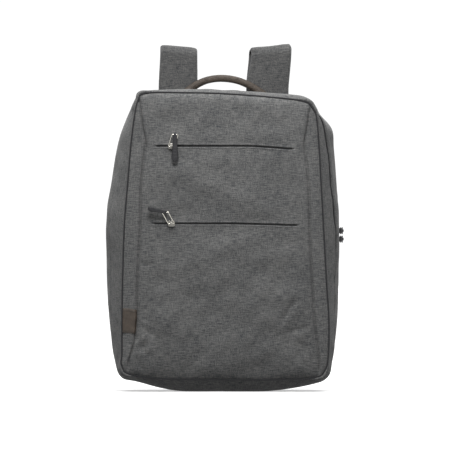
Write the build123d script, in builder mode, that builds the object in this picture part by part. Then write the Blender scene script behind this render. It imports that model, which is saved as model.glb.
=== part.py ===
from build123d import *
import os
from math import atan2, degrees

os.makedirs("parts", exist_ok=True)

# A business backpack standing on its base. Front is -Y, the wearer's back is +Y, +Z is up.
# Cross-sections of the bag, front to back. Each gives its depth y, the half-widths low, at the
# waist and high, the lowest and highest z, and how far the bottom rises towards its corners.
FRONT_RIM = dict(y=-62, low=149, waist=142, high=129, floor=19, roof=422, rise=1)
FRONT_BULGE = dict(y=-46, low=150, waist=156, high=133, floor=0, roof=428, rise=12)
MIDDLE = dict(y=0, low=151, waist=166, high=134, floor=0, roof=429, rise=13)
BACK_BULGE = dict(y=48, low=150, waist=161, high=133, floor=0, roof=428, rise=12)
BACK_RIM = dict(y=62, low=146, waist=151, high=128, floor=8, roof=422, rise=6)
SECTIONS = [FRONT_RIM, FRONT_BULGE, MIDDLE, BACK_BULGE, BACK_RIM]
WAIST_Z = 205
FLAT_HALF = 72                       # half-width of the flat stretch of the bottom
LOW_CORNER = (24, 31)                # width and height of the bottom corners
HIGH_CORNER = (16, 22)               # and of the top corners
ROOF_ARCH = 5                        # how far the top edge falls towards its corners

WALL = 2.5                           # padded fabric wall
ZIP_GAP = 3.0                        # open width between two zip tapes
FOLD_Z = 62                          # the front shell folds open along this line
FOLD_GAP = 0.5                       # clearance each side of that line
GUSSET_TOP_Z = 392                   # where the side gussets meet the top gusset
GUSSET_LOW_Z = 34                    # where they meet the bottom gusset
FAR = 300                            # beyond the bag in every direction
TALL = 600

STRIP_Y = -65.5                      # outer face of the narrow side strips of the front
PANEL_Y = -69.0                      # outer face of the raised centre panels
PANEL_TOP = (-112, 118, 417)         # left and right edge at the top, and their height
PANEL_LOW = (-127, 138, 22)          # the same at the bottom
UPPER_ZIP = dict(z=349, left=-98, right=102, slider=-73, lean=5)
LOWER_ZIP = dict(z=239, left=-101, right=108, slider=-73, lean=-9)
SIDE_ZIP = dict(upper=229.0, lower=217.0, stand_off=1.5)

PIPING = 2.2                         # how far the piping stands out of a seam
PAD_Y = 76                           # outer face of the back padding
STRAP_WIDTH = 54
STRAP_X = 64                         # centre of each strap at the top
STRAP_THICK = 6
STRAP_Y = 69                         # centre of the sewn, upright end of a strap
FOLD_R = 9                           # radius at which a strap folds over
FOLD_TOP_Z = 482                     # height of that fold's centre
STRAP_END = (92, 128)                # centre and height of a strap's lower end
FOLD_START = 32                      # degrees of the fold left open for the strap to swing
WEBBING = (25, 1.6)

HANDLE_Y = 58
HANDLE_ENDS = (-57, 62, 430)
HANDLE_TOP = (2.5, 446.5)
GRIP = (11, 8.6)                     # the grip's depth and height


def save(piece, name):
    piece.part.label = name
    export_step(piece.part, f"parts/{name}.step")


def outline(section, inset=0.0, y=None):
    """The closed outline of one cross-section, drawn inset from its own edge."""
    low, waist, high = (section[key] - inset for key in ("low", "waist", "high"))
    floor, roof = section["floor"] + inset, section["roof"] - inset
    depth = section["y"] if y is None else y
    foot = (low - LOW_CORNER[0], floor + section["rise"])
    hip = (low, floor + LOW_CORNER[1])
    hip_bulge = (low - 0.3 * LOW_CORNER[0], foot[1] + 0.3 * (hip[1] - foot[1]))
    shoulder = (high, roof - HIGH_CORNER[1])
    neck = (high - HIGH_CORNER[0], roof - ROOF_ARCH)
    neck_bulge = (high - 0.3 * HIGH_CORNER[0], neck[1] - 0.3 * (neck[1] - shoulder[1]))
    right = [(FLAT_HALF, floor), foot, hip, (waist, WAIST_Z), shoulder, neck]
    left = [(-x, z) for x, z in right]
    with BuildSketch(Plane.XZ.offset(-depth)) as face:
        with BuildLine():
            Line(left[0], right[0])
            for side, sign in ((right, 1), (left, -1)):
                Line(side[0], side[1])
                ThreePointArc(side[1], (sign * hip_bulge[0], hip_bulge[1]), side[2])
                ThreePointArc(side[2], side[3], side[4])
                ThreePointArc(side[4], (sign * neck_bulge[0], neck_bulge[1]), side[5])
            ThreePointArc(left[5], (0, roof), right[5])
        make_face()
    return face.sketch


def plate(section, thickness, y, inset=0.0, hole=None):
    """A sheet across the bag from depth y towards the front, or a frame with a hole inset in it."""
    with BuildPart() as sheet:
        extrude(outline(section, inset, y), amount=thickness)
        if hole is not None:
            extrude(outline(section, hole, y), amount=thickness, mode=Mode.SUBTRACT)
    return sheet


def between(first, second, share):
    """The cross-section part of the way from one to another."""
    return {key: first[key] + share * (second[key] - first[key]) for key in first}


def block(low, high):
    """One box between two corners, inside the current part."""
    size = [b - a for a, b in zip(low, high)]
    with Locations(tuple(low)):
        Box(*size, align=(Align.MIN, Align.MIN, Align.MIN))


def cut(source, *spans):
    """The part of a solid inside the given boxes, each a low and a high corner."""
    with BuildPart() as kept:
        for low, high in spans:
            block(low, high)
        add(source.part, mode=Mode.INTERSECT)
    return kept


# ---- the lofted wall of the bag: side, top and bottom gussets ----
with BuildPart() as wall:
    loft(sections=[outline(s) for s in SECTIONS], ruled=True)
    loft(sections=[outline(s, WALL) for s in SECTIONS], ruled=True, mode=Mode.SUBTRACT)

half_gap = ZIP_GAP / 2
over, under = FOLD_Z + FOLD_GAP, FOLD_Z - FOLD_GAP
for side, x_low, x_high in (("left", -FAR, 0), ("right", 0, FAR)):
    # The rear half of each side gusset reaches forward under the front shell.
    save(cut(wall,
             ((x_low, half_gap, GUSSET_LOW_Z), (x_high, FAR, GUSSET_TOP_Z)),
             ((x_low, -FAR, GUSSET_LOW_Z), (x_high, half_gap, under))), f"side_gusset_{side}")
    save(cut(wall, ((x_low, -FAR, over), (x_high, -half_gap, GUSSET_TOP_Z))),
         f"front_gusset_{side}")
save(cut(wall, ((-FAR, half_gap, GUSSET_TOP_Z), (FAR, FAR, TALL))), "top_gusset")
save(cut(wall, ((-FAR, -FAR, GUSSET_TOP_Z), (FAR, -half_gap, TALL))), "front_gusset_top")
save(cut(wall, ((-FAR, -FAR, -FAR), (FAR, FAR, GUSSET_LOW_Z))), "bottom_gusset")

# ---- main zip tapes, just inside the wall, one on each side of the gap ----
MAIN_TAPE = (1.0, 7.0)
rear_tape = plate(MIDDLE, MAIN_TAPE[1], half_gap + MAIN_TAPE[1], 4.0, 4.0 + MAIN_TAPE[0])
save(cut(rear_tape, ((-FAR, -FAR, over), (FAR, FAR, TALL))), "main_zip_rear")
front_tape = plate(MIDDLE, MAIN_TAPE[1], -half_gap, 5.0, 5.0 + MAIN_TAPE[0])
save(cut(front_tape, ((-FAR, -FAR, over), (FAR, FAR, TALL))), "main_zip_front")

# ---- back of the bag ----
BACK_THICK = 3.5
back_y = BACK_RIM["y"] + BACK_THICK
save(plate(BACK_RIM, BACK_THICK, back_y), "back_panel")
save(plate(BACK_RIM, BACK_THICK, back_y, -PIPING, -0.05), "rear_piping")

PAD_HALF = 47
PAD_X, PAD_LOW, PAD_HIGH = 68, 108, 388
for side, sign in (("left", -1), ("right", 1)):
    with BuildPart() as pad:
        with BuildSketch(Plane.XZ.offset(-PAD_Y)):
            with Locations((sign * PAD_X, (PAD_LOW + PAD_HIGH) / 2)):
                RectangleRounded(2 * PAD_HALF, PAD_HIGH - PAD_LOW, 18)
        extrude(amount=-(back_y - PAD_Y))
        fillet(pad.faces().sort_by(Axis.Y)[-1].edges(), 5)
    save(pad, f"back_pad_{side}")
with BuildPart() as pad:
    with BuildSketch(Plane.XZ.offset(-PAD_Y)):
        with Locations((0, 68)):
            RectangleRounded(210, 56, 18)
    extrude(amount=-(back_y - PAD_Y))
    fillet(pad.faces().sort_by(Axis.Y)[-1].edges(), 5)
save(pad, "back_pad_lower")

# ---- inside: base board and padded laptop sleeve ----
BOARD = (70, 44, 3)
with BuildPart() as base_board:
    block((-BOARD[0], -BOARD[1], WALL), (BOARD[0], BOARD[1], WALL + BOARD[2]))
save(base_board, "base_board")

SLEEVE_Y, SLEEVE_THICK = 34, 6
board_top = WALL + BOARD[2] + 0.1
with BuildPart() as laptop_sleeve:
    with BuildSketch(Plane.XZ.offset(-(SLEEVE_Y + SLEEVE_THICK))):
        with BuildLine():
            Polyline((-BOARD[0], board_top), (BOARD[0], board_top), (122, 20), (142, 46),
                     (146, 290), (-146, 290), (-142, 46), (-122, 20), close=True)
        make_face()
    extrude(amount=SLEEVE_THICK)
save(laptop_sleeve, "laptop_sleeve")

# ---- front face: side strips, raised centre panels with two pocket zips, piping ----
strip_sheet = plate(FRONT_RIM, FRONT_RIM["y"] - STRIP_Y, FRONT_RIM["y"])


def panel_edge(side, z):
    """The centre panel's left (0) or right (1) edge at height z, on a straight taper."""
    share = (z - PANEL_LOW[2]) / (PANEL_TOP[2] - PANEL_LOW[2])
    return PANEL_LOW[side] + share * (PANEL_TOP[side] - PANEL_LOW[side])


def centre_panel(z_low, z_high):
    """One raised panel across the front between two heights, less the mouths of the zips."""
    with BuildPart() as panel:
        with BuildSketch(Plane.XZ.offset(-STRIP_Y)):
            with BuildLine():
                Polyline((panel_edge(0, z_low), z_low), (panel_edge(1, z_low), z_low),
                         (panel_edge(1, z_high), z_high), (panel_edge(0, z_high), z_high),
                         close=True)
            make_face()
        extrude(amount=STRIP_Y - PANEL_Y)
        extrude(outline(FRONT_RIM, 1.0, STRIP_Y), amount=STRIP_Y - PANEL_Y, mode=Mode.INTERSECT)
        for zip_line in (UPPER_ZIP, LOWER_ZIP):
            middle = ((zip_line["left"] + zip_line["right"]) / 2, 0, zip_line["z"])
            with Locations(middle):
                Box(zip_line["right"] - zip_line["left"], TALL, ZIP_GAP, mode=Mode.SUBTRACT)
    return panel


UNDERLAP = 6                         # the strips run this far under the centre panels
save(centre_panel(UPPER_ZIP["z"], PANEL_TOP[2]), "front_panel_upper")
save(centre_panel(LOWER_ZIP["z"], UPPER_ZIP["z"]), "front_panel_middle")
save(centre_panel(over, LOWER_ZIP["z"]), "front_panel_lower")

for side, edge in (("left", 0), ("right", 1)):
    inward = 1 - 2 * edge
    with BuildPart() as strip:
        add(cut(strip_sheet, ((-FAR, -FAR, over), (FAR, FAR, TALL))).part)
        with BuildSketch(Plane.XZ.offset(FAR)):
            with BuildLine():
                Polyline((panel_edge(edge, 0) + inward * UNDERLAP, 0),
                         (panel_edge(edge, TALL) + inward * UNDERLAP, TALL),
                         (inward * FAR * 2, TALL), (inward * FAR * 2, 0), close=True)
            make_face()
        extrude(amount=-2 * FAR, mode=Mode.SUBTRACT)
    save(strip, f"front_strip_{side}")

base_panel = centre_panel(PANEL_LOW[2], under)
with BuildPart() as front_base:
    add(cut(strip_sheet, ((-FAR, -FAR, -FAR), (FAR, FAR, under))).part)
    add(base_panel.part)
save(front_base, "front_base")

piping = plate(FRONT_RIM, 4.0, FRONT_RIM["y"], -PIPING, -0.05)
save(cut(piping, ((-FAR, -FAR, over), (FAR, FAR, TALL))), "front_piping")
save(cut(piping, ((-FAR, -FAR, -FAR), (FAR, FAR, under))), "front_piping_lower")

LINER_SHARE, LINER_THICK = 0.5, 1.5
liner_line = between(FRONT_RIM, FRONT_BULGE, LINER_SHARE)
liner = plate(liner_line, LINER_THICK, liner_line["y"] + LINER_THICK, WALL + 0.4)
save(cut(liner, ((-FAR, -FAR, over), (FAR, FAR, TALL))), "pocket_liner")

PATCH = (-142, -125.5, 84, 118, 1.2)
with BuildPart() as leather_patch:
    block((PATCH[0], STRIP_Y - PATCH[4], PATCH[2]), (PATCH[1], STRIP_Y, PATCH[3]))
    fillet(leather_patch.edges().filter_by(Axis.Y), 1.5)
save(leather_patch, "leather_patch")

# ---- pocket zips: a tape behind each mouth with a raised coil ----
TAPE_HALF, TAPE_THICK, COIL = 9, 0.8, (1.2, 0.9)
for name, zip_line in (("upper", UPPER_ZIP), ("lower", LOWER_ZIP)):
    with BuildPart() as zip_tape:
        block((zip_line["left"] - 4, STRIP_Y, zip_line["z"] - TAPE_HALF),
              (zip_line["right"] + 4, STRIP_Y + TAPE_THICK, zip_line["z"] + TAPE_HALF))
        block((zip_line["left"] + 0.5, STRIP_Y - COIL[1], zip_line["z"] - COIL[0]),
              (zip_line["right"] - 0.5, STRIP_Y, zip_line["z"] + COIL[0]))
    save(zip_tape, f"{name}_zip_tape")

# ---- zip sliders, wire bails and rubber pulls ----
# Each is drawn on its own plane: x along the zip, y across it, z out of the fabric.
SLIDER = (10, 8, 1.7)
SLIDER_LIFT = 0.4
NECK = (7.5, 1.4, 2.1)
BOW = (4.4, 3, 3)
BOW_LIFT = SLIDER_LIFT + SLIDER[2]
PIVOT_LIFT = BOW_LIFT + 1.5
WIRE_R, PIN_HOLE_R = 0.7, 0.78
BAIL = dict(half=4.4, length=16.5, pin=1.2, bend=1.3)
PULL = dict(neck=1.3, half=4.3, thick=3.4, eye=2.3, eye_hole=1.1)


def slider(plane):
    """A zip slider: a body on the fabric, a neck down into the zip and a bow for the bail."""
    with BuildPart(plane) as body:
        with Locations((0, 0, SLIDER_LIFT + SLIDER[2] / 2)):
            Box(*SLIDER)
        fillet(body.edges().filter_by(Axis(plane.origin, plane.z_dir)), 2.2)
        with Locations((0, 0, SLIDER_LIFT - NECK[2] / 2)):
            Box(*NECK)
        with Locations((0, 0, BOW_LIFT + BOW[2] / 2)):
            Box(*BOW)
        with Locations(Location((0, 0, PIVOT_LIFT), (0, 90, 0))):
            Cylinder(PIN_HOLE_R, 2 * BOW[0], mode=Mode.SUBTRACT)
    return body


def bail(plane, lean):
    """A wire loop with two pins in the slider's bow, its far bar shifted sideways by lean."""
    pin, half, length = BAIL["pin"], BAIL["half"], BAIL["length"]
    level = plane.offset(PIVOT_LIFT)
    with BuildPart() as loop:
        with BuildLine(level) as route:
            FilletPolyline((pin, 0), (half, 0), (half + lean, length), (lean - half, length),
                           (-half, 0), (-pin, 0), radius=BAIL["bend"])
        start = Plane(origin=route.line @ 0, z_dir=route.line % 0)
        with BuildSketch(start):
            Circle(WIRE_R)
        sweep(path=route.line)
    return loop


def pull(plane, eye_at, cord, body_length, turn):
    """A moulded rubber pull: an eye round the bail's bar, a thin cord and a teardrop body.
    It leaves the eye at an angle of turn degrees from the plane's y axis."""
    neck, half = PULL["neck"], PULL["half"]
    level = PIVOT_LIFT + PULL["eye_hole"] + 0.2
    end = cord + body_length
    face = Plane(plane.location * Location((*eye_at, level), (0, 0, turn)))
    with BuildPart(plane) as rubber:
        with BuildSketch(face):
            with BuildLine():
                Line((-neck, 0), (neck, 0))
                Line((neck, 0), (neck, cord))
                Spline((neck, cord), (half, cord + 0.66 * body_length), (0, end),
                       tangents=[(0, 1), (-1, 0)])
                Spline((0, end), (-half, cord + 0.66 * body_length), (-neck, cord),
                       tangents=[(-1, 0), (0, -1)])
                Line((-neck, cord), (-neck, 0))
            make_face()
        extrude(amount=PULL["thick"])
        with Locations(Location((eye_at[0], eye_at[1], PIVOT_LIFT), (0, 90, 0))):
            Cylinder(PULL["eye"], 2 * neck)
            Cylinder(PULL["eye_hole"], 6 * neck, mode=Mode.SUBTRACT)
    return rubber


for name, zip_line, cord, body_length, turn in (("upper", UPPER_ZIP, 15, 27, 180),
                                                ("lower", LOWER_ZIP, 5, 21, 78)):
    fabric = Plane((zip_line["slider"], PANEL_Y, zip_line["z"]), (1, 0, 0), (0, -1, 0))
    save(slider(fabric), f"{name}_zip_slider")
    save(bail(fabric, zip_line["lean"]), f"{name}_bail")
    eye_at = (zip_line["lean"], BAIL["length"])
    save(pull(fabric, eye_at, cord, body_length, turn), f"{name}_pull")

for name in ("upper", "lower"):
    seat = Plane((MIDDLE["waist"] + SIDE_ZIP["stand_off"] - SLIDER_LIFT, 0, SIDE_ZIP[name]),
                 (0, 0, -1), (1, 0, 0))
    save(slider(seat), f"main_{name}_slider")
    save(bail(seat, 0), f"main_{name}_bail")
    save(pull(seat, (0, BAIL["length"]), 4, 24, 0), f"main_{name}_pull")

# ---- carry handle ----
left_end, right_end, end_z = HANDLE_ENDS
with BuildPart() as handle_grip:
    with BuildLine(Plane.XZ.offset(-HANDLE_Y)) as arch:
        ThreePointArc((left_end, end_z), HANDLE_TOP, (right_end, end_z))
    with BuildSketch(Plane(origin=arch.line @ 0, x_dir=(0, 1, 0), z_dir=arch.line % 0)):
        RectangleRounded(*GRIP, 3.2)
    sweep(path=arch.line)
save(handle_grip, "handle_grip")

ANCHOR = (15, 9, 2.2)
for side, x in (("left", left_end - 12), ("right", right_end + 12)):
    with BuildPart() as handle_anchor:
        with Locations((x, HANDLE_Y - 6, BACK_BULGE["roof"] + 0.4)):
            Box(*ANCHOR, align=(Align.CENTER, Align.CENTER, Align.MIN))
        fillet(handle_anchor.edges().filter_by(Axis.Z), 2.5)
    save(handle_anchor, f"handle_anchor_{side}")

# ---- shoulder straps: a sewn upright end, a fold and a hanging padded run ----
hang_y = STRAP_Y + 2 * FOLD_R
fold_y = STRAP_Y + FOLD_R
half_thick = STRAP_THICK / 2
end_x, end_height = STRAP_END
END_HALF = 21
for side, sign in (("left", -1), ("right", 1)):
    centre = sign * STRAP_X
    with BuildPart() as strap_root:
        block((centre - STRAP_WIDTH / 2, STRAP_Y - half_thick, 398),
              (centre + STRAP_WIDTH / 2, STRAP_Y + half_thick, FOLD_TOP_Z - 2))
    save(strap_root, f"strap_root_{side}")

    with BuildPart() as strap:
        with BuildSketch(Plane.YZ.offset(centre - STRAP_WIDTH / 2)):
            with BuildLine():
                CenterArc((fold_y, FOLD_TOP_Z), FOLD_R + half_thick, 0, 180 - FOLD_START)
                CenterArc((fold_y, FOLD_TOP_Z), FOLD_R - half_thick, 0, 180 - FOLD_START)
                Line((fold_y + FOLD_R - half_thick, FOLD_TOP_Z),
                     (fold_y + FOLD_R + half_thick, FOLD_TOP_Z))
                outer = PolarLine((fold_y, FOLD_TOP_Z), FOLD_R + half_thick,
                                  180 - FOLD_START, mode=Mode.PRIVATE)
                inner = PolarLine((fold_y, FOLD_TOP_Z), FOLD_R - half_thick,
                                  180 - FOLD_START, mode=Mode.PRIVATE)
                Line(inner @ 1, outer @ 1)
            make_face()
        extrude(amount=STRAP_WIDTH)
        with BuildSketch(Plane.XZ.offset(-(hang_y + half_thick))):
            with BuildLine():
                Polyline((centre - STRAP_WIDTH / 2, FOLD_TOP_Z),
                         (centre + STRAP_WIDTH / 2, FOLD_TOP_Z),
                         (centre + STRAP_WIDTH / 2 + 2 * sign, 330),
                         (sign * end_x + END_HALF, end_height),
                         (sign * end_x - END_HALF, end_height),
                         (centre - STRAP_WIDTH / 2 + 2 * sign, 330), close=True)
            make_face()
        extrude(amount=STRAP_THICK)
    save(strap, f"shoulder_strap_{side}")

    # The adjuster: a ladder with two slots for the webbing.
    LOCK = (34, 24, 4.6)
    lock_z = end_height - LOCK[1] / 2 - 0.4
    with BuildPart() as ladder_lock:
        with BuildSketch(Plane.XZ.offset(-(hang_y + LOCK[2] / 2))):
            with Locations((sign * end_x, lock_z)):
                RectangleRounded(LOCK[0], LOCK[1], 3)
                with GridLocations(0, 9, 1, 2):
                    Rectangle(WEBBING[0] + 1.5, 4, mode=Mode.SUBTRACT)
        extrude(amount=LOCK[2])
    save(ladder_lock, f"ladder_lock_{side}")

    tail_y = hang_y + LOCK[2] / 2 + 0.4
    with BuildPart() as webbing_tail:
        block((sign * end_x - WEBBING[0] / 2, tail_y, 62),
              (sign * end_x + WEBBING[0] / 2, tail_y + WEBBING[1], lock_z + 9))
    save(webbing_tail, f"webbing_tail_{side}")

    # The fixed webbing, from just below the adjuster down to the tab in the bottom corner.
    upper = Vector(sign * (end_x + 4), hang_y - 1, lock_z - LOCK[1] / 2 - 9)
    lower = Vector(sign * 124, back_y + 6, 46)
    along = (upper - lower).normalized()
    across = along.cross(Vector(0, 1, 0)).normalized()
    middle = Plane(origin=(upper + lower) * 0.5, x_dir=along, z_dir=across.cross(along))
    with BuildPart(middle) as lower_webbing:
        Box((upper - lower).length, WEBBING[0], WEBBING[1])
    save(lower_webbing, f"lower_webbing_{side}")

    with BuildPart() as anchor_tab:
        with BuildSketch(Plane.XZ.offset(-(back_y + 3.4))):
            with BuildLine():
                Polyline((sign * 108, 34), (sign * 118, 58), (sign * 138, 48),
                         (sign * 144, 26), (sign * 122, 17), close=True)
            make_face()
        extrude(amount=3.2)
    save(anchor_tab, f"anchor_tab_{side}")
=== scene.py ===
import bmesh
import bpy
import numpy as np
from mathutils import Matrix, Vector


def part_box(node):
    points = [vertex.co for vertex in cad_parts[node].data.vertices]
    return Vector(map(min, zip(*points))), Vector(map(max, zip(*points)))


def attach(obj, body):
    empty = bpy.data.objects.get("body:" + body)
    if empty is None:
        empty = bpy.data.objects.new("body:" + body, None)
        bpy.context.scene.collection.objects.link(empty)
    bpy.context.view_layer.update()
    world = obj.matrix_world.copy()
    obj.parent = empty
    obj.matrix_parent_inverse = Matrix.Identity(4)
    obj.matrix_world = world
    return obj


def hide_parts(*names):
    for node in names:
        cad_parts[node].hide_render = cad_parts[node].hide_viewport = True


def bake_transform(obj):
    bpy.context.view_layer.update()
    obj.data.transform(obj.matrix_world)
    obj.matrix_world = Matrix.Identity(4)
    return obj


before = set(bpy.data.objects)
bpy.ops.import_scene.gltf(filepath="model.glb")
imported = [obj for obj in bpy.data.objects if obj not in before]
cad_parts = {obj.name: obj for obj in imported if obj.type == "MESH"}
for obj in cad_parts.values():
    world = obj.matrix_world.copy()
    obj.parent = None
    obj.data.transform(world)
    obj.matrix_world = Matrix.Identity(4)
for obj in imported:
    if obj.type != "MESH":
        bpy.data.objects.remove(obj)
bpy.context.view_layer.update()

# ---- Camera, floor and light -------------------------------------------------------------------
# The bag stands on a wide pale floor under a pale sky, seen square on from the front through a
# long lens. One soft box hangs above in front of it, one behind it, and a soft sun overhead.
MM = 0.001
SENSOR_WIDTH = 36.0
VIEW_CENTRE = (0.0100, 0.2300)
VIEW_WIDTH = 0.6532
VIEW_DISTANCE = 8.5
FRONT_DEPTH = -0.06

camera_data = bpy.data.cameras.new("camera")
camera_data.sensor_width = SENSOR_WIDTH
camera_data.lens = SENSOR_WIDTH * (VIEW_DISTANCE + FRONT_DEPTH) / VIEW_WIDTH
camera = bpy.data.objects.new("camera", camera_data)
camera.location = (VIEW_CENTRE[0], -VIEW_DISTANCE, VIEW_CENTRE[1])
camera.rotation_euler = (np.pi / 2, 0, 0)
bpy.context.scene.collection.objects.link(camera)
bpy.context.scene.camera = camera
bpy.context.scene.view_settings.view_transform = "Standard"

world = bpy.data.worlds.new("studio")
world.use_nodes = True
sky = world.node_tree
heading = sky.nodes.new("ShaderNodeTexCoord")
height = sky.nodes.new("ShaderNodeSeparateXYZ")
shade = sky.nodes.new("ShaderNodeValToRGB")
SKY_STOPS = [(0.0, 0.20), (0.47, 0.20), (0.49, 1.06), (0.56, 1.06), (0.68, 0.32), (1.0, 0.32)]
while len(shade.color_ramp.elements) < len(SKY_STOPS):
    shade.color_ramp.elements.new(0.5)
for element, (place, level) in zip(shade.color_ramp.elements, SKY_STOPS):
    element.position, element.color = place, (level, level, level, 1.0)
half_up = sky.nodes.new("ShaderNodeMath")
half_up.operation = "MULTIPLY_ADD"
half_up.inputs[1].default_value, half_up.inputs[2].default_value = 0.5, 0.5
sky.links.new(heading.outputs["Generated"], height.inputs[0])
sky.links.new(height.outputs["Z"], half_up.inputs[0])
sky.links.new(half_up.outputs[0], shade.inputs[0])
sky.links.new(shade.outputs[0], sky.nodes["Background"].inputs[0])
bpy.context.scene.world = world


def area_light(name, place, aim, size, power):
    """A square soft box at one place, turned to face another."""
    data = bpy.data.lights.new(name, "AREA")
    data.size, data.energy = size, power
    light = bpy.data.objects.new(name, data)
    light.location = place
    light.visible_camera = False
    toward = np.array(aim, float) - np.array(place, float)
    light.rotation_euler = (
        np.arctan2(np.hypot(toward[0], toward[1]), -toward[2]), 0,
        np.arctan2(-toward[0], toward[1]))
    bpy.context.scene.collection.objects.link(light)


area_light("key", (-0.04, -0.70, 1.20), (0, 0, 0.46), 0.40, 14.5)
area_light("rear", (0.6, 1.3, 1.3), (0, 0, 0.25), 0.9, 14)
overhead_data = bpy.data.lights.new("overhead", "SUN")
overhead_data.energy, overhead_data.angle = 2.4, 1.1
overhead = bpy.data.objects.new("overhead", overhead_data)
overhead.rotation_euler = (np.radians(8), 0, np.radians(-35))
bpy.context.scene.collection.objects.link(overhead)


class Socket:
    """One value on a node sheet. + - * / and ** on it add Math nodes."""

    def __init__(self, sheet, link):
        self.sheet, self.link = sheet, link

    def math(self, operation, *values):
        return self.sheet.node("ShaderNodeMath", values, operation=operation)

    def __add__(self, other):
        return self.math("ADD", self, other)

    def __sub__(self, other):
        return self.math("SUBTRACT", self, other)

    def __rsub__(self, other):
        return self.math("SUBTRACT", other, self)

    def __mul__(self, other):
        return self.math("MULTIPLY", self, other)

    def __truediv__(self, other):
        return self.math("DIVIDE", self, other)

    def __pow__(self, other):
        return self.math("POWER", self, other)

    __radd__, __rmul__ = __add__, __mul__

    def clip(self):
        return self.sheet.node("ShaderNodeClamp", (self, 0.0, 1.0))

    def between(self, low, high):
        """0 below low, 1 above high and a smooth step from one to the other."""
        return self.sheet.node("ShaderNodeMapRange", {0: self, 1: low, 2: high},
                               interpolation_type="SMOOTHSTEP")


class Sheet:
    """The node sheet of one material, with its shader's fixed values set straight away."""

    def __init__(self, name, **fixed):
        self.material = bpy.data.materials.new(name)
        self.material.use_nodes = True
        self.tree = self.material.node_tree
        self.shader = self.tree.nodes["Principled BSDF"]
        for key, value in fixed.items():
            self.shader.inputs[key.replace("_", " ")].default_value = value

    def node(self, kind, sockets=(), output=0, **settings):
        """Adds a node with its settings and inputs, and gives back one of its outputs."""
        made = self.tree.nodes.new(kind)
        for key, value in settings.items():
            setattr(made, key, value)
        pairs = sockets.items() if isinstance(sockets, dict) else enumerate(sockets)
        for key, value in pairs:
            if isinstance(value, Socket):
                self.tree.links.new(value.link, made.inputs[key])
            else:
                made.inputs[key].default_value = value
        return Socket(self, made.outputs[output])

    def place(self, source="UV"):
        """The piece's own map, or its place in space."""
        return self.node("ShaderNodeTexCoord", output=source)

    def stretched(self, place, units):
        """The place multiplied up, so that a pattern has so many units to the metre: one number,
        or one for each axis."""
        return self.node("ShaderNodeVectorMath", (place, np.broadcast_to(units, 3).tolist()),
                         operation="MULTIPLY")

    def noise(self, place, units, detail=2.0, roughness=0.5):
        """Cloudy noise, 0 to 1, with so many units to the metre."""
        return self.node("ShaderNodeTexNoise", {"Vector": self.stretched(place, units),
                                                "Scale": 1.0, "Detail": detail,
                                                "Roughness": roughness})

    def bands(self, place, scale, direction, distortion):
        """Soft parallel ribs, 0 to 1, about scale / 0.314 of them to the metre."""
        return self.node("ShaderNodeTexWave", {"Vector": place, "Scale": scale,
                                               "Distortion": distortion},
                         wave_type="BANDS", bands_direction=direction)

    def mix(self, share, first, second):
        """Two colours mixed by a share."""
        first, second = ((*c, 1.0) if isinstance(c, tuple) else c for c in (first, second))
        return self.node("ShaderNodeMix", {0: share, 6: first, 7: second}, output=2,
                         data_type="RGBA")

    def finish(self, colour, height=None, distance=0.0004, roughness=None, strength=1.0):
        """Links the colour, the roughness and the relief to the shader."""
        self.tree.links.new(colour.link, self.shader.inputs["Base Color"])
        if roughness is not None:
            self.tree.links.new(roughness.link, self.shader.inputs["Roughness"])
        if height is not None:
            bump = self.node("ShaderNodeBump", {"Strength": strength, "Distance": distance,
                                                "Height": height})
            self.tree.links.new(bump.link, self.shader.inputs["Normal"])
        return self.material


def plain_sheet(name, colour, roughness, glow):
    """A smooth painted surface with a faint unevenness, for the floor. It glows a little, so that
    the shadow under the bag stays pale."""
    sheet = Sheet(name, Roughness=roughness, Emission_Color=(1, 1, 1, 1), Emission_Strength=glow)
    cloud = sheet.noise(sheet.place("Object"), 3)
    shade = tuple(0.985 * c for c in colour)
    return sheet.finish(sheet.mix(cloud, shade, colour))


def join_points(mesh, face_out):
    """Joins the points of a mesh that fall together, and turns its faces outwards if asked."""
    work = bmesh.new()
    work.from_mesh(mesh)
    bmesh.ops.remove_doubles(work, verts=work.verts, dist=0.002 * MM)
    if face_out:
        bmesh.ops.recalc_face_normals(work, faces=work.faces)
    work.to_mesh(mesh)
    work.free()


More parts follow.
